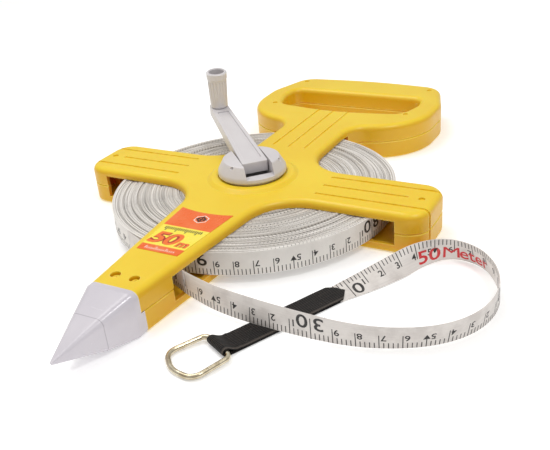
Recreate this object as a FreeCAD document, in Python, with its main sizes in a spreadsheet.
"""Open-reel measuring tape: two moulded shells with four arms, a tape drum, a folding crank,
a ground spike, and the free end of the tape with its leader strap and hook ring.

Millimetres, +Z up.  The origin is on the reel's axis, in the plane that the lower shell rests on.
+Y points to the hand grip, -Y to the ground spike.
"""
import FreeCAD, Part
import math
import os
import Sketcher

from FreeCAD import Placement, Rotation, Vector

DIMENSIONS = {
    # case
    "case_height": 23.0,        # outside, over both shells
    "skirt_height": 4.7,        # height of each shell's edge over the tape windows
    "plate": 2.6,               # thickness of the flat faces
    "wall": 2.4,                # thickness of the side walls
    "arm_reach": 109.4,         # reel axis to the end of a side arm
    "arm_half_width": 20.5,
    "grip_arm_half_width": 23.0,
    "spike_arm_end": 128.5,     # reel axis to the end of the upper shell
    "spike_arm_half_width": 13.8,
    "edge_radius": 4.0,         # rounding of the upper outer edges
    "lower_edge_radius": 1.8,   # and of the lower ones
    "parting_chamfer": 0.6,
    "groove_width": 2.1,
    "groove_depth": 0.65,
    "window_reach": 93.5,       # the side arms' windows end here
    "reel_room": 86.0,          # radius kept free for the winding
    "boss_radius": 3.6,
    "screw_radius": 1.5,
    "screw_head_radius": 2.4,
    "screw_head_depth": 3.0,
    "dimple_radius": 1.9,       # blind marks over the screws, in the upper face
    "dimple_depth": 0.9,
    "spike_screw_seat": 19.6,   # upper face of the spike's tongue
    # drum and tape
    "tape_width": 13.0,
    "tape_base": 5.0,           # lower edge of the wound tape
    "tape_thickness": 0.5,
    "winding_radius": 82.0,
    "core_radius": 26.0,
    "spindle_radius": 7.9,
    "spindle_top": 14.0,
    "running_clearance": 0.06,
    "collar_radius": 16.0,
    "collar_top": 24.0,
    "hub_hole_radius": 16.6,
    "hub_boss_radius": 24.0,    # on top; its side slopes out to the foot
    "hub_boss_foot": 26.6,
    "hub_boss_rise": 1.8,
    "cover_room_radius": 20.2,  # sunk in the boss, under the crank's cover
    "cover_room_rise": 0.6,
    # crank
    "cover_radius": 19.9,
    "cover_shoulder": 16.2,
    "cover_top": 35.3,
    "slot_width": 16.2,
    "slot_floor": 28.0,
    "slot_end": 12.5,           # reel axis to the end of the slot's deep part
    "pivot_height": 30.5,
    "pin_radius": 1.5,
    "crank_bearing": 135.4,     # degrees from +X, direction of the unfolded arm
    "crank_rise": 6.4,          # degrees above level, unfolded
    "crank_reach": 79.5,        # pivot to the arm's tip
    "crank_heel": 7.7,          # pivot to the arm's inner end
    "crank_root_width": 15.2,
    "crank_tip_width": 11.2,
    "crank_thickness": 6.7,
    "crank_over_pin": 4.7,      # pin axis to the arm's upper face
    "knob_inset": 5.9,          # arm's tip to the knob's axis
    "knob_length": 24.0,
    "knob_root_radius": 5.5,
    "knob_top_radius": 6.5,
    "knob_spindle_radius": 2.0,
    # leader
    "strap_width": 13.8,
    "strap_thickness": 1.6,
    "ring_wire_radius": 1.25,
    "ring_length": 22.8,
}

os.makedirs("parts", exist_ok=True)
doc = FreeCAD.newDocument("surveyor_tape_reel")
sheet = doc.addObject("Spreadsheet::Sheet", "Dims")
for row, (alias, number) in enumerate(DIMENSIONS.items(), start=1):
    sheet.set(f"A{row}", alias)
    sheet.set(f"B{row}", str(number))
    sheet.setAlias(f"B{row}", alias)
doc.recompute()


def dim(alias):
    """A driving dimension's number, for geometry that is worked out in code."""
    return float(sheet.get(alias))


HALF = dim("case_height") / 2
CEILING = HALF - dim("plate")                  # inner face of a shell, from the parting plane
WINDOW_DEPTH = HALF - dim("skirt_height")


# ---------------------------------------------------------------- sketch and feature helpers
def new_body(label):
    body = doc.addObject("PartDesign::Body", label)
    body.Label = label
    return body


def new_sketch(body, name, plane="XY_Plane", offset="0"):
    """A sketch on one of the body's own origin planes, moved along its normal by an expression."""
    sketch = body.newObject("Sketcher::SketchObject", f"{body.Name}_{name}")
    support = next(item for item in body.Origin.OriginFeatures if item.Role == plane)
    sketch.AttachmentSupport = [(support, "")]
    sketch.MapMode = "FlatFace"
    sketch.setExpression("AttachmentOffset.Base.z", offset)
    return sketch


def add_circle(sketch, radius, centre=(0.0, 0.0)):
    """A circle whose radius is bound to the sheet."""
    circle = Part.Circle(Vector(centre[0], centre[1], 0), Vector(0, 0, 1), 1.0)
    index = sketch.addGeometry(circle, False)
    sketch.addConstraint(Sketcher.Constraint("DistanceX", -1, 1, index, 3, centre[0]))
    sketch.addConstraint(Sketcher.Constraint("DistanceY", -1, 1, index, 3, centre[1]))
    number = sketch.addConstraint(Sketcher.Constraint("Radius", index, 1.0))
    sketch.setExpression(f"Constraints[{number}]", radius)


def add_loop(sketch, points, radii=None):
    """A closed outline of straight edges, each corner rounded by its own radius."""
    edges = rounded_edges(points, radii or [0.0] * len(points), closed=True)
    sketch.addGeometry(edges, False)


def add_rectangle(sketch, low, high):
    add_loop(sketch, [low, (high[0], low[1]), high, (low[0], high[1])])


def pad(body, sketch, length, reverse=False, midplane=False):
    feature = body.newObject("PartDesign::Pad", f"{sketch.Name}_pad")
    feature.Profile = sketch
    feature.setExpression("Length", length)
    feature.Reversed = reverse
    feature.Midplane = midplane
    doc.recompute()
    return feature


def pocket(body, sketch, length, reverse=False, midplane=False):
    """A cut, checked to take material away."""
    before = body.Shape.Volume
    feature = body.newObject("PartDesign::Pocket", f"{sketch.Name}_cut")
    feature.Profile = sketch
    feature.setExpression("Length", length)
    feature.Reversed = reverse
    feature.Midplane = midplane
    doc.recompute()
    if body.Shape.Volume > before - 1e-6:
        raise RuntimeError(f"{feature.Name} cuts nothing")
    return feature


def revolve(body, sketch, axis="V_Axis"):
    feature = body.newObject("PartDesign::Revolution", f"{sketch.Name}_turn")
    feature.Profile = sketch
    feature.ReferenceAxis = (sketch, [axis])
    feature.Angle = 360
    doc.recompute()
    return feature


def polar_pattern(body, features, sketch, count):
    feature = body.newObject("PartDesign::PolarPattern", f"{features[0].Name}_ring")
    feature.Originals = features
    feature.Axis = (sketch, ["N_Axis"])
    feature.Angle = 360
    feature.Occurrences = count
    body.Tip = feature
    doc.recompute()
    return feature


def round_edges(body, radius, wanted, kind="PartDesign::Fillet"):
    """Fillet or chamfer the body's edges that pass the wanted test."""
    base = body.Tip
    names = [f"Edge{i}" for i, edge in enumerate(base.Shape.Edges, start=1) if wanted(edge)]
    feature = body.newObject(kind, f"{base.Name}_edge")
    feature.Base = (base, names)
    feature.setExpression("Radius" if kind.endswith("Fillet") else "Size", radius)
    doc.recompute()
    return feature


def lies_at(edge, height, tolerance=1e-4):
    box = edge.BoundBox
    return abs(box.ZMin - height) < tolerance and abs(box.ZMax - height) < tolerance


def rounded_edges(points, radii, closed):
    """Lines between the points, with a tangent arc of the given radius at each corner."""
    corners = [Vector(p[0], p[1], p[2] if len(p) > 2 else 0) for p in points]
    count = len(corners)
    arcs = []
    for i, corner in enumerate(corners):
        if not closed and i in (0, count - 1) or radii[i] <= 0:
            arcs.append((corner, None, corner))
            continue
        back = (corners[i - 1] - corner).normalize()
        ahead = (corners[(i + 1) % count] - corner).normalize()
        half_angle = back.getAngle(ahead) / 2
        reach = radii[i] / math.tan(half_angle)
        inward = (back + ahead).normalize()
        middle = corner + inward * (radii[i] / math.sin(half_angle) - radii[i])
        arcs.append((corner + back * reach, middle, corner + ahead * reach))
    edges = []
    for i, (start, middle, end) in enumerate(arcs):
        if middle is not None:
            edges.append(Part.Arc(start, middle, end))
        if closed or i < count - 1:
            following = arcs[(i + 1) % count][0]
            if (following - end).Length > 1e-6:
                edges.append(Part.LineSegment(end, following))
    return edges


def mirrored(half):
    """A whole outline from its right half, listed from -Y round to +Y."""
    return half + [(-x, y, r) for x, y, r in reversed(half) if x > 0]


def offset_outline(outline, distance):
    """The outline moved inwards by a distance; corner radii follow."""
    count = len(outline)
    moved = []
    for i, (x, y, radius) in enumerate(outline):
        here = Vector(x, y, 0)
        before = Vector(*outline[i - 1][:2], 0)
        after = Vector(*outline[(i + 1) % count][:2], 0)
        ahead_in = (here - before).normalize()
        ahead_out = (after - here).normalize()
        inward_in = Vector(-ahead_in.y, ahead_in.x, 0)
        inward_out = Vector(-ahead_out.y, ahead_out.x, 0)
        shift = (inward_in + inward_out) * (distance / (1 + inward_in.dot(inward_out)))
        convex = ahead_in.cross(ahead_out).z > 0
        new_radius = max(radius - distance, 0.0) if convex else radius + distance
        moved.append((x + shift.x, y + shift.y, new_radius if radius > 0 else 0.0))
    return moved


def add_outline(sketch, outline):
    add_loop(sketch, [corner[:2] for corner in outline], [corner[2] for corner in outline])


# ---------------------------------------------------------------- shells
GRIP_BACK = 189.8
SPIKE_FLARE = 10.3               # how much wider the spike arm is at the hub than at its end
SCREW_PLACES = {
    "arm_screws": [(101.3, 0.0), (-101.3, 0.0)],
    "grip_screws": [(49.5, 175.2), (-49.5, 175.2), (49.9, 121.9), (-49.9, 121.9)],
    "spike_screws": [(5.5, -119.7), (-5.5, -119.7)],
}


def case_outline(end):
    """Plan of a shell.  Each corner is x, y and its rounding; end is the spike arm's length."""
    arm = dim("arm_half_width")
    reach = dim("arm_reach")
    grip = dim("grip_arm_half_width")
    tip = dim("spike_arm_half_width")
    return mirrored([
        (tip, -end, 0.0),
        (tip + SPIKE_FLARE, -arm, 27.0),
        (reach, -arm, 12.0),
        (reach, arm, 12.0),
        (grip, arm, 26.0),
        (grip, 91.0, 16.0),
        (65.6, 101.8, 40.0),
        (66.4, 149.5, 26.0),
        (55.0, 184.4, 16.0),
        (0.0, GRIP_BACK, 320.0),
    ])


# the finger slot: nearly straight behind, bowed in front, listed round from -Y
HAND_SLOT = mirrored([
    (0.0, 116.5, 150.0),
    (45.5, 123.5, 11.0),
    (51.0, 142.0, 20.0),
    (49.5, 157.0, 7.0),
])


def groove_profile(side, edge_radius):
    """Section, in X and height, that is cut from a side arm's top and end for one long groove."""
    depth = dim("groove_depth")
    inner = 45.0
    end = dim("arm_reach") - depth
    top = HALF - depth
    beyond = 5.0
    points = [(inner, top), (end, top), (end, 0.0), (end + beyond, 0.0),
              (end + beyond, HALF + beyond), (inner, HALF + beyond)]
    radii = [0.0, edge_radius - depth, 0.0, 0.0, 0.0, 0.0]
    return [(side * x, z) for x, z in points], radii


def make_shell(label, end, edge):
    """One half of the case, open side down, with its parting plane at z = 0.

    The spike arm ends at the given distance; edge names the dimension that rounds the outside.
    """
    body = new_body(label)
    outline = case_outline(end)
    plan = new_sketch(body, "plan")
    add_outline(plan, outline)
    add_outline(plan, HAND_SLOT)
    pad(body, plan, "Dims.case_height / 2")
    round_edges(body, f"Dims.{edge}", lambda side: lies_at(side, HALF) and side.BoundBox.YMax > 1 - end)
    round_edges(body, "Dims.parting_chamfer",
                lambda side: lies_at(side, 0) and side.BoundBox.YMax > 1 - end, "PartDesign::Chamfer")

    hollow = new_sketch(body, "hollow")
    inner = offset_outline(outline, dim("wall"))
    add_outline(hollow, [(x, max(y, -end - 1), r) for x, y, r in inner])
    add_outline(hollow, offset_outline(HAND_SLOT, -dim("wall")))
    pocket(body, hollow, "Dims.case_height / 2 - Dims.plate", reverse=True)

    windows = new_sketch(body, "windows")
    reach, side_room = dim("window_reach"), 27.0
    mouth, grip_window = -106.0, 84.0
    add_loop(windows, [(side_room, mouth), (side_room, -side_room), (reach, -side_room), (reach, side_room),
                       (side_room, side_room), (side_room, grip_window), (-side_room, grip_window),
                       (-side_room, side_room), (-reach, side_room), (-reach, -side_room),
                       (-side_room, -side_room), (-side_room, mouth)])
    pocket(body, windows, "Dims.case_height / 2 - Dims.skirt_height", reverse=True)
    room = new_sketch(body, "reel_room")
    add_circle(room, "Dims.reel_room")
    pocket(body, room, "Dims.case_height / 2 - Dims.skirt_height", reverse=True)

    tongue_slot = new_sketch(body, "tongue_slot", "XZ_Plane", str(end + 1))
    add_rectangle(tongue_slot, (-10.5, -1.0), (10.5, HALF - 3.3))
    pocket(body, tongue_slot, "Dims.wall + 2")

    bosses = new_sketch(body, "bosses")
    for x, y in SCREW_PLACES["arm_screws"] + SCREW_PLACES["grip_screws"]:
        add_circle(bosses, "Dims.boss_radius", (x, y))
    pad(body, bosses, "Dims.case_height / 2 - Dims.plate / 2")

    grooves = new_sketch(body, "grooves", offset="Dims.case_height / 2")
    half_groove = dim("groove_width") / 2
    for side in (1, -1):
        inner_end, outer_end = sorted((side * 45.0, side * 94.0))
        add_rectangle(grooves, (inner_end, -half_groove), (outer_end, half_groove))
    for x in (-11.0, 0.0, 11.0):
        add_rectangle(grooves, (x - half_groove, 46.0), (x + half_groove, 116.0))
    pocket(body, grooves, "Dims.groove_depth")
    for name, offset in (("near_grooves", "11"), ("far_grooves", "-11")):
        lines = new_sketch(body, name, "XZ_Plane", offset)
        for side in (1, -1):
            add_loop(lines, *groove_profile(side, dim(edge)))
        pocket(body, lines, "Dims.groove_width", midplane=True)
    return body


def make_top_shell():
    body = make_shell("top_shell", dim("spike_arm_end"), "edge_radius")
    crown, foot = HALF + dim("hub_boss_rise"), HALF - 1.0
    raised = new_sketch(body, "hub_boss", "XZ_Plane")
    add_loop(raised, [(0, foot), (dim("hub_boss_foot"), foot), (dim("hub_boss_foot"), HALF),
                      (dim("hub_boss_radius"), crown), (0, crown)], [0, 0, 0, 1.6, 0])
    revolve(body, raised)
    hole = new_sketch(body, "hub_hole")
    add_circle(hole, "Dims.hub_hole_radius")
    pocket(body, hole, "Dims.case_height", reverse=True)
    room = new_sketch(body, "cover_room", offset="Dims.case_height / 2 + Dims.hub_boss_rise")
    add_circle(room, "Dims.cover_room_radius")
    pocket(body, room, "Dims.hub_boss_rise - Dims.cover_room_rise")
    threads = new_sketch(body, "screw_bores")
    dimples = new_sketch(body, "dimples", offset="Dims.case_height / 2")
    for place in SCREW_PLACES["arm_screws"] + SCREW_PLACES["grip_screws"]:
        add_circle(threads, "Dims.screw_radius + 0.05", place)
        add_circle(dimples, "Dims.dimple_radius", place)
    pocket(body, threads, "8", reverse=True)
    pocket(body, dimples, "Dims.dimple_depth")
    wells = new_sketch(body, "spike_screw_wells")
    for place in SCREW_PLACES["spike_screws"]:
        add_circle(wells, "Dims.screw_head_radius + 0.2", place)
    pocket(body, wells, "Dims.case_height", reverse=True)
    body.Placement = Placement(Vector(0, 0, HALF), Rotation())
    return body


def make_bottom_shell():
    """The upper shell's mirror image, with the spindle that the drum turns on."""
    collar_step = 2.5            # the spike reaches this much further back under the parting line
    body = make_shell("bottom_shell", dim("spike_arm_end") - collar_step, "lower_edge_radius")
    seat = new_sketch(body, "washer_seat", offset="Dims.case_height / 2 - 4.1")
    add_circle(seat, "Dims.spindle_radius + 3.1")
    pad(body, seat, "3")
    spindle = new_sketch(body, "spindle", offset="Dims.case_height / 2 - Dims.spindle_top")
    add_circle(spindle, "Dims.spindle_radius")
    pad(body, spindle, "Dims.spindle_top - Dims.plate / 2")
    bore = new_sketch(body, "spindle_bore", offset="Dims.case_height / 2 - Dims.spindle_top")
    add_circle(bore, "Dims.screw_radius + 0.05")
    pocket(body, bore, "9.5", reverse=True)
    shanks = new_sketch(body, "screw_holes")
    heads = new_sketch(body, "screw_recesses", offset="Dims.case_height / 2")
    for place in SCREW_PLACES["arm_screws"] + SCREW_PLACES["grip_screws"]:
        add_circle(shanks, "Dims.screw_radius + 0.15", place)
        add_circle(heads, "Dims.screw_head_radius + 0.2", place)
    pocket(body, shanks, "Dims.case_height", reverse=True)
    pocket(body, heads, "Dims.screw_head_depth")
    body.Placement = Placement(Vector(0, 0, HALF), Rotation(Vector(0, 1, 0), 180))
    return body


# ---------------------------------------------------------------- fasteners
def turned(label, profile):
    """A solid of revolution about Z from (radius, height) points."""
    body = new_body(label)
    section = new_sketch(body, "section", "XZ_Plane")
    add_loop(section, profile)
    revolve(body, section)
    return body


def screw_profile(shank, head, head_height, length):
    """Pan-head screw with a conical recess in its head; the head's underside is at z = 0."""
    recess = head * 0.45
    return [(0, -length), (shank, -length + shank), (shank, 0), (head, 0), (head, head_height * 0.6),
            (head * 0.75, head_height), (recess, head_height), (0, head_height * 0.35)]


def screw_group(label, places, seat, length, from_below=False):
    """Equal screws at several places, as one part of separate solids."""
    profile = screw_profile(dim("screw_radius"), dim("screw_head_radius"), 1.9, length)
    wire = Part.makePolygon([Vector(r, 0, z) for r, z in profile + profile[:1]])
    screw = Part.Face(wire).revolve(Vector(0, 0, 0), Vector(0, 0, 1), 360)
    group = doc.addObject("Part::Feature", label)
    group.Label = label
    side = -1 if from_below else 1
    group.Shape = Part.makeCompound([screw.translated(Vector(x, side * y, 0)) for x, y in places])
    group.Placement = Placement(Vector(0, 0, seat), Rotation(Vector(1, 0, 0), 180 if from_below else 0))
    return group


# ---------------------------------------------------------------- ground spike
def spike_section(sketch, half_width, half_height, upper, lower, centre):
    """Rounded rectangle whose upper and lower corners have their own radii."""
    low, high = centre - half_height, centre + half_height
    add_loop(sketch, [(-half_width, low), (half_width, low), (half_width, high), (-half_width, high)],
             [lower, lower, upper, upper])


def make_spike():
    """Square collar that blends through a rounder section into a point, with a tongue behind."""
    body = new_body("ground_spike")
    width, end = dim("spike_arm_half_width"), dim("spike_arm_end")
    collar = 3.0
    upper, lower = dim("edge_radius"), dim("lower_edge_radius")
    collar_sketch = new_sketch(body, "collar", "XZ_Plane", "Dims.spike_arm_end")
    spike_section(collar_sketch, width, HALF, upper, lower, HALF)
    pad(body, collar_sketch, str(collar))
    stations = [(end + collar, width, HALF, upper, lower, HALF), (end + 18.5, 9.0, 8.6, 3.4, 3.0, 10.4),
                (end + 43.5, 0.7, 0.7, 0.6, 0.6, 11.0)]
    sections = []
    for number, (distance, *section) in enumerate(stations):
        sketch = new_sketch(body, f"station_{number}", "XZ_Plane", str(distance))
        spike_section(sketch, *section)
        sections.append(sketch)
    loft = body.newObject("PartDesign::AdditiveLoft", "spike_loft")
    loft.Profile = sections[0]
    loft.Sections = sections[1:]
    loft.Ruled = True
    doc.recompute()
    step = new_sketch(body, "lower_step", "XZ_Plane", "Dims.spike_arm_end")
    add_loop(step, [(-width, 0), (width, 0), (width, HALF), (-width, HALF)],
             [lower, lower, 0, 0])
    pad(body, step, "2.4", reverse=True)
    tongue = new_sketch(body, "tongue", "XZ_Plane", "Dims.spike_arm_end")
    add_rectangle(tongue, (-10.4, 3.4), (10.4, dim("spike_screw_seat")))
    pad(body, tongue, "17", reverse=True)
    holes = new_sketch(body, "holes", offset="Dims.case_height")
    for place in SCREW_PLACES["spike_screws"]:
        add_circle(holes, "Dims.screw_radius + 0.05", place)
    pocket(body, holes, "16.5")
    return body


# ---------------------------------------------------------------- label
def make_label():
    """Printed sticker on the spike arm, its upper edge hollowed round the hub."""
    body = new_body("label")
    plan = new_sketch(body, "plan", offset="Dims.case_height")
    top, bottom = -49.7, -95.7
    wide, narrow, dip, middle = 15.8, 12.0, -52.1, 0.5
    left, right = Vector(middle - wide, top, 0), Vector(middle + wide, top, 0)
    low_left, low_right = Vector(middle - narrow, bottom, 0), Vector(middle + narrow, bottom, 0)
    plan.addGeometry([Part.LineSegment(left, low_left), Part.LineSegment(low_left, low_right),
                      Part.LineSegment(low_right, right), Part.Arc(right, Vector(middle, dip, 0), left)],
                     False)
    pad(body, plan, "0.2")
    return body


# ---------------------------------------------------------------- drum
CRANK_TURN = Rotation(Vector(0, 0, 1), dim("crank_bearing"))


def make_drum_core():
    """Hub bored for the spindle, web, tape rim, and the collar that carries the crank's cover."""
    bore = dim("spindle_radius") + dim("running_clearance")
    rim, collar = dim("core_radius"), dim("collar_radius")
    low, high = dim("tape_base"), dim("tape_base") + dim("tape_width")
    hub_low, hub_high, hub = 5.2, dim("spindle_top") - 0.1, bore + 2.9
    web_low, web_high = 9.0, 11.2
    collar_inner, rim_inner = collar - 3.0, rim - 2.4
    body = turned("drum_core", [
        (bore, hub_low), (hub, hub_low), (hub, web_low), (rim_inner, web_low), (rim_inner, low), (rim, low),
        (rim, high), (rim_inner, high), (rim_inner, web_high), (collar, web_high),
        (collar, dim("collar_top")), (collar_inner, dim("collar_top")), (collar_inner, web_high),
        (hub, web_high), (hub, hub_high), (bore, hub_high)])
    notch = new_sketch(body, "anchor_notch", offset="Dims.tape_base + Dims.tape_width")
    add_rectangle(notch, (rim_inner - 1, -3.1), (rim + 1, 3.1))
    pocket(body, notch, "Dims.tape_width - 2")
    holes = new_sketch(body, "cover_screw_holes", offset="Dims.collar_top")
    for x, y in cover_screw_places():
        add_circle(holes, "1.25", (x, y))
    pocket(body, holes, "Dims.collar_top - 8")
    return body


def cover_screw_places():
    """Two screws that hold the cover on the collar, clear of the hinge pin and of the slot."""
    radius = dim("collar_radius") - 1.5
    places = [CRANK_TURN.multVec(Vector(radius * math.cos(a), radius * math.sin(a), 0))
              for a in (math.radians(125), math.radians(-125))]
    return [(place.x, place.y) for place in places]


def make_tape_anchor():
    """Wedge that locks the tape's inner end in the rim's notch."""
    box = doc.addObject("Part::Box", "tape_anchor")
    box.Label = "tape_anchor"
    box.setExpression("Length", "2.1")
    box.setExpression("Width", "6.1")
    box.setExpression("Height", "Dims.tape_width - 2.2")
    box.Placement = Placement(Vector(dim("core_radius") - 2.35, -3.05, dim("tape_base") + 2.05), Rotation())
    return box


def make_wound_tape():
    inner = dim("core_radius")
    outer = dim("winding_radius")
    low = dim("tape_base")
    high = low + dim("tape_width")
    return turned("wound_tape", [(inner, low), (outer, low), (outer, high), (inner, high)])


def make_washers():
    radius = dim("spindle_radius")
    thrust = turned("thrust_washer", [(radius + 0.1, 4.1), (radius + 3, 4.1), (radius + 3, 5.1),
                                      (radius + 0.1, 5.1)])
    top = dim("spindle_top")
    hole = dim("screw_radius") + 0.1
    retaining = turned("retaining_washer", [(hole, top), (radius + 2, top), (radius + 2, top + 1),
                                            (hole, top + 1)])
    return thrust, retaining


# ---------------------------------------------------------------- crank
def make_crank_cover():
    """Button-shaped cover with a slot right across it, deepened under the arm's hinge.

    Its own X runs along the unfolded arm.
    """
    radius, top, foot = dim("cover_radius"), dim("cover_top"), dim("collar_top")
    shoulder = dim("cover_shoulder")
    body = new_body("crank_cover")
    section = new_sketch(body, "section", "XZ_Plane")
    add_loop(section, [(0, foot), (radius - 2.0, foot), (radius, foot + 2.0), (radius - 0.2, foot + 4.4),
                       (shoulder, top - 0.7), (0, top)], [0, 0.5, 1.6, 3.0, 1.2, 0])
    revolve(body, section)
    half_slot = dim("slot_width") / 2
    channel = new_sketch(body, "channel", offset="Dims.cover_top + 1")
    add_rectangle(channel, (-radius - 1, -half_slot), (radius + 1, half_slot))
    pocket(body, channel, "Dims.cover_top + 1 - Dims.slot_floor")
    well = new_sketch(body, "well", offset="Dims.cover_top")
    add_rectangle(well, (-dim("slot_end"), -half_slot), (9.4, half_slot))
    pocket(body, well, "Dims.cover_top - Dims.collar_top + 1")
    lip = -dim("slot_end")
    round_edges(body, "0.4", lambda edge: lies_at(edge, dim("slot_floor")) and
                abs(edge.BoundBox.XMin - lip) < 0.01 and abs(edge.BoundBox.XMax - lip) < 0.01)
    pin_hole = new_sketch(body, "pin_hole", "XZ_Plane", "Dims.cover_radius + 1")
    add_circle(pin_hole, "Dims.pin_radius", (0.0, dim("pivot_height")))
    pocket(body, pin_hole, "Dims.cover_radius + 1 + 12.55")
    for name, offset, outward in (("near_mark", "12.2", True), ("far_mark", "-12.2", False)):
        mark = new_sketch(body, name, "XZ_Plane", offset)
        add_circle(mark, "0.95", (-9.2, 33.4))
        pocket(body, mark, "6", reverse=outward)
    screw_holes = new_sketch(body, "screw_holes", offset="Dims.collar_top")
    for x, y in cover_screw_places():
        own = CRANK_TURN.inverted().multVec(Vector(x, y, 0))
        add_circle(screw_holes, "1.25", (own.x, own.y))
    pocket(body, screw_holes, "3.5", reverse=True)
    body.Placement = Placement(Vector(0, 0, 0), CRANK_TURN)
    return body


def make_cover_screws():
    head_seat, length, shank, head = 8.9, 18.0, 1.2, 2.1
    profile = screw_profile(shank, head, 1.6, length)
    wire = Part.makePolygon([Vector(r, 0, -z) for r, z in profile + profile[:1]])
    screw = Part.Face(wire).revolve(Vector(0, 0, 0), Vector(0, 0, 1), 360)
    group = doc.addObject("Part::Feature", "cover_screws")
    group.Label = "cover_screws"
    group.Shape = Part.makeCompound([screw.translated(Vector(x, y, 0)) for x, y in cover_screw_places()])
    group.Placement = Placement(Vector(0, 0, head_seat), Rotation())
    return group


def make_hinge_pin():
    pin = doc.addObject("Part::Cylinder", "hinge_pin")
    pin.Label = "hinge_pin"
    length = 25.0
    pin.setExpression("Radius", "Dims.pin_radius")
    pin.setExpression("Height", str(length))
    across = CRANK_TURN.multiply(Rotation(Vector(1, 0, 0), -90))
    start = CRANK_TURN.multVec(Vector(0, -length / 2, 0)) + Vector(0, 0, dim("pivot_height"))
    pin.Placement = Placement(start, across)
    return pin


# the arm's own frame: X along the arm from the pivot, Z square to its upper face
ARM_FRAME = Placement(Vector(0, 0, dim("pivot_height")),
                      CRANK_TURN.multiply(Rotation(Vector(0, 1, 0), -dim("crank_rise"))))


def arm_plan(inset, start, finish):
    """Tapering plan of the arm between two stations, drawn in by an inset."""
    heel, reach = -dim("crank_heel"), dim("crank_reach")
    root, tip = dim("crank_root_width") / 2, dim("crank_tip_width") / 2

    def half_width(x):
        return root + (tip - root) * (x - heel) / (reach - heel) - inset

    return [(start, -half_width(start)), (finish, -half_width(finish)),
            (finish, half_width(finish)), (start, half_width(start))]


def make_crank_arm():
    body = new_body("crank_arm")
    heel, reach = -dim("crank_heel"), dim("crank_reach")
    plan = new_sketch(body, "plan", offset="Dims.crank_over_pin")
    add_loop(plan, arm_plan(0.0, heel, reach), [0.8, 2.2, 2.2, 0.8])
    pad(body, plan, "Dims.crank_thickness", reverse=True)
    top = dim("crank_over_pin")
    round_edges(body, "0.6", lambda edge: lies_at(edge, top))
    panel = new_sketch(body, "panel", offset="Dims.crank_over_pin")
    add_loop(panel, arm_plan(2.3, -3.5, reach - 14.5), [0.8] * 4)
    pocket(body, panel, "0.8")
    channel = new_sketch(body, "channel", offset="Dims.crank_over_pin - Dims.crank_thickness")
    add_loop(channel, arm_plan(1.8, 7.0, reach - 13.0), [0.8] * 4)
    pocket(body, channel, "Dims.crank_thickness - 2.8", reverse=True)
    bore = new_sketch(body, "pin_bore", "XZ_Plane")
    add_circle(bore, "Dims.pin_radius + Dims.running_clearance")
    pocket(body, bore, "Dims.crank_root_width + 2", midplane=True)
    knob_hole = new_sketch(body, "knob_hole", offset="Dims.crank_over_pin")
    add_circle(knob_hole, "Dims.knob_spindle_radius", (reach - dim("knob_inset"), 0.0))
    pocket(body, knob_hole, "Dims.crank_thickness")
    body.Placement = ARM_FRAME
    return body


KNOB_FRAME = ARM_FRAME.multiply(Placement(
    Vector(dim("crank_reach") - dim("knob_inset"), 0, dim("crank_over_pin")), Rotation()))


def make_knob_spindle():
    """Headed pin, riveted through the arm, that the knob spins on."""
    shank, head, seat = dim("knob_spindle_radius"), 3.7, 4.6
    body = turned("knob_spindle", [
        (0, -dim("crank_thickness")), (shank, -dim("crank_thickness")), (shank, seat), (head, seat),
        (head, seat + 1.4), (head - 0.6, seat + 2.0), (0, seat + 2.0)])
    body.Placement = KNOB_FRAME
    return body


def make_knob():
    """Fluted hollow grip, open on top, with a plain collar round its mouth."""
    root, top, length = dim("knob_root_radius"), dim("knob_top_radius"), dim("knob_length")
    gap, floor, mouth = 0.3, 4.3, top - 1.7
    collar_foot = length - 4.6
    neck = top - 0.35
    bore = dim("knob_spindle_radius") + dim("running_clearance")
    body = turned("knob", [
        (bore, gap), (root - 0.5, gap), (root, gap + 0.5), (neck, collar_foot), (top, collar_foot + 0.4),
        (top, length - 0.7), (top - 0.7, length), (mouth + 0.4, length), (mouth, length - 0.5),
        (mouth - 0.5, floor), (bore, floor)])
    flute = new_sketch(body, "flute", offset="2.2")
    add_circle(flute, "0.6", (neck, 0.0))
    cut = pocket(body, flute, str(collar_foot - 3.2), reverse=True)
    polar_pattern(body, [cut], flute, 18)
    body.Placement = KNOB_FRAME
    return body


# ---------------------------------------------------------------- free tape, strap and ring
STRAP_BEARING = 63.0              # degrees from +X, from the ring towards the tape
STRAP_END = Vector(51.4, -125.6, 0)   # under the middle of the ring's straight bar
STRAP_REACH = 71.5                # bar to the strap's pointed tip
STRAP_SHOULDER = 63.0
BAR_HEIGHT = 2.25                 # centre of the ring's bar, folded into the strap

# The free tape's middle line (x, y, height) and the lean of its width from upright, in degrees,
# listed from the mouth in the spike arm round to the leader strap.
TAPE_ROUTE = [
    (18.0, -99.2, 11.5, 0), (32.0, -103.0, 10.2, -4), (48.0, -104.7, 9.3, -8), (66.0, -105.2, 8.5, -4),
    (84.0, -105.0, 7.7, 0), (102.5, -103.7, 6.9, 6), (119.5, -99.5, 6.6, 12), (136.0, -91.5, 6.6, 15),
    (148.0, -79.3, 6.6, 13), (154.0, -64.0, 6.6, 6), (154.0, -48.0, 6.6, -2), (148.0, -32.2, 6.6, -9),
    (137.0, -19.5, 6.6, -17), (121.5, -16.5, 6.6, -12), (110.0, -26.5, 6.3, 14), (102.5, -38.5, 4.8, 48),
    (95.8, -48.5, 3.4, 64), (89.0, -58.0, 1.9, 76), (81.0, -68.5, 0.5, 89),
]


def route_radii(points):
    """Each inner corner's arc: 0.45 of its shorter run over the tangent of half its turn."""
    radii = [0.0]
    for before, here, after in zip(points, points[1:], points[2:]):
        turn = (here - before).getAngle(after - here)
        shorter = min((here - before).Length, (after - here).Length)
        radii.append(0.45 * shorter / math.tan(turn / 2))
    return radii + [0.0]


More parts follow.
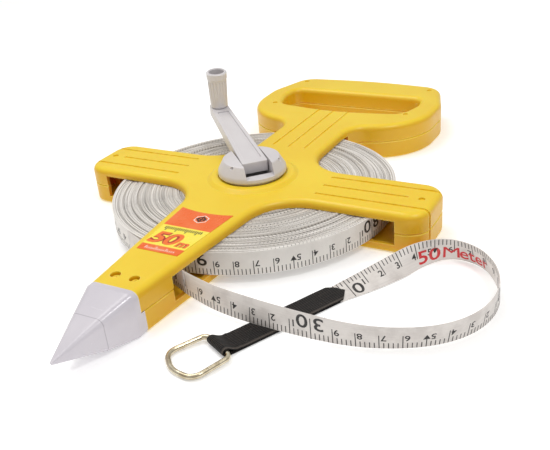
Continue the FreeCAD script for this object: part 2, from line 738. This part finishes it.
def route_stations(path, steps):
    """Places along the path with their headings and distances, several to each line or arc."""
    stations = []
    travelled = 0.0
    for edge in path.OrderedEdges:
        flipped = edge.Orientation == "Reversed"
        for step in range(steps + 1):
            share = step / steps
            along = edge.getParameterByLength(edge.Length * (1 - share if flipped else share))
            heading = edge.tangentAt(along) * (-1 if flipped else 1)
            if step or not stations:
                stations.append((edge.valueAt(along), heading, travelled + edge.Length * share))
        travelled += edge.Length
    return stations


def lean_at(share, runs):
    """The strip's lean, in radians, at a share of the route's length."""
    place = share * runs[-1]
    span = max(i for i, run in enumerate(runs[:-1]) if run <= place + 1e-6)
    part = (place - runs[span]) / (runs[span + 1] - runs[span])
    return math.radians(TAPE_ROUTE[span][3] * (1 - part) + TAPE_ROUTE[span + 1][3] * part)


def make_free_tape():
    """Strip on edge along the route, leaning over towards the strap."""
    points = [Vector(*place[:3]) for place in TAPE_ROUTE]
    radii = route_radii(points)
    print("free tape arc radii", [round(radius, 1) for radius in radii[1:-1]])
    path = Part.Wire([edge.toShape() for edge in rounded_edges(points, radii, closed=False)])
    half_width, half_thick = dim("tape_width") / 2, dim("tape_thickness") / 2
    runs = [0.0]
    for before, here in zip(points, points[1:]):
        runs.append(runs[-1] + (here - before).Length)
    sections = []
    for place, heading, travelled in route_stations(path, 3):
        lean = lean_at(travelled / path.Length, runs)
        level = Vector(heading.x, heading.y, 0).normalize()
        outward = Vector(level.y, -level.x, 0)
        across = Vector(0, 0, 1) * math.cos(lean) + outward * math.sin(lean)
        through = outward * math.cos(lean) - Vector(0, 0, 1) * math.sin(lean)
        corners = [place + across * a * half_width + through * b * half_thick
                   for a, b in ((-1, -1), (1, -1), (1, 1), (-1, 1))]
        sections.append(Part.makePolygon(corners + corners[:1]))
    solid = Part.makeLoft(sections, True, True)
    expected = path.Length * dim("tape_width") * dim("tape_thickness")
    print("free tape length", round(path.Length, 1), "volume share", round(solid.Volume / expected, 3))
    strip = doc.addObject("Part::Feature", "free_tape")
    strip.Label = "free_tape"
    strip.Shape = solid
    return strip


def make_tape_lead():
    """Straight stretch from the winding to the mouth, tangent to the winding."""
    mouth = Vector(*TAPE_ROUTE[0][:2], 0)
    radius = dim("winding_radius") + 0.6
    bearing = math.atan2(mouth.y, mouth.x) - math.acos(radius / mouth.Length)
    start = Vector(radius * math.cos(bearing), radius * math.sin(bearing), 0)
    strip = doc.addObject("Part::Box", "tape_lead")
    strip.Label = "tape_lead"
    strip.setExpression("Length", str((mouth - start).Length))
    strip.setExpression("Width", "Dims.tape_thickness")
    strip.setExpression("Height", "Dims.tape_width")
    heading = mouth - start
    turn = Rotation(Vector(0, 0, 1), math.degrees(math.atan2(heading.y, heading.x)))
    shift = turn.multVec(Vector(0, -dim("tape_thickness") / 2, 0))
    strip.Placement = Placement(start + shift + Vector(0, 0, dim("tape_base")), turn)
    return strip


STRAP_FRAME = Placement(STRAP_END, Rotation(Vector(0, 0, 1), STRAP_BEARING))


def make_leader_strap():
    """Doubled strap: a loop round the ring's bar, and a pointed tail that grips the tape."""
    body = new_body("leader_strap")
    half = dim("strap_width") / 2
    tail = new_sketch(body, "tail")
    add_loop(tail, [(0.6, -half), (STRAP_SHOULDER, -half), (STRAP_REACH, 0.0), (STRAP_SHOULDER, half),
                    (0.6, half)], [0, 1.0, 1.0, 1.0, 0])
    pad(body, tail, "Dims.strap_thickness")
    loop = new_sketch(body, "loop", "XZ_Plane")
    add_circle(loop, str(BAR_HEIGHT), (0.0, BAR_HEIGHT))
    pad(body, loop, "Dims.strap_width", midplane=True)
    bore = new_sketch(body, "bore", "XZ_Plane")
    add_circle(bore, "Dims.ring_wire_radius + 0.15", (0.0, BAR_HEIGHT))
    pocket(body, bore, "Dims.strap_width + 2", midplane=True)
    body.Placement = STRAP_FRAME
    return body


def make_hook_ring():
    """Wire loop: straight bar, two slightly spread sides and a bowed end, lying on the ground."""
    body = new_body("hook_ring")
    length, wire = dim("ring_length"), dim("ring_wire_radius")
    bar, spread = 10.2, 11.6
    spine = new_sketch(body, "spine")
    add_loop(spine, [(0, -bar), (0, bar), (-length * 0.86, spread), (-length * 1.03, 0.0),
                     (-length * 0.86, -spread)], [3.2, 3.2, 6.0, 14.0, 6.0])
    profile = new_sketch(body, "wire", "XZ_Plane")
    add_circle(profile, "Dims.ring_wire_radius")
    pipe = body.newObject("PartDesign::AdditivePipe", "ring_pipe")
    pipe.Profile = profile
    pipe.Spine = (spine, [])
    doc.recompute()
    dip = math.degrees(math.asin((BAR_HEIGHT - wire) / length))
    tilt = Rotation(Vector(0, 1, 0), -dip)
    body.Placement = Placement(STRAP_END + Vector(0, 0, BAR_HEIGHT), STRAP_FRAME.Rotation.multiply(tilt))
    return body


# ---------------------------------------------------------------- the whole
def build():
    parts = [make_top_shell(), make_bottom_shell(), make_spike(), make_label()]
    for label in ("arm_screws", "grip_screws"):
        parts.append(screw_group(label, SCREW_PLACES[label], dim("screw_head_depth"), 15.0, True))
    parts.append(screw_group("spike_screws", SCREW_PLACES["spike_screws"], dim("spike_screw_seat"), 12.5))
    parts += [make_drum_core(), make_tape_anchor(), make_wound_tape(), *make_washers()]
    parts.append(screw_group("spindle_screw", [(0.0, 0.0)], dim("spindle_top") + 1.0, 9.0))
    parts += [make_crank_cover(), make_cover_screws(), make_hinge_pin(), make_crank_arm(),
              make_knob_spindle(), make_knob()]
    parts += [make_tape_lead(), make_free_tape(), make_leader_strap(), make_hook_ring()]
    return parts


def write(parts):
    doc.recompute()
    for item in doc.Objects:
        if {"Invalid", "Error"} & set(item.State):
            raise RuntimeError(f"{item.Name} failed: {item.State}")
    for part in parts:
        if part.Shape.isNull() or not part.Shape.isValid():
            raise RuntimeError(f"{part.Label} has no valid shape")
        part.Shape.exportStep(f"parts/{part.Label}.step")
        print(part.Label, "solids", len(part.Shape.Solids), "volume", round(part.Shape.Volume, 1))


write(build())
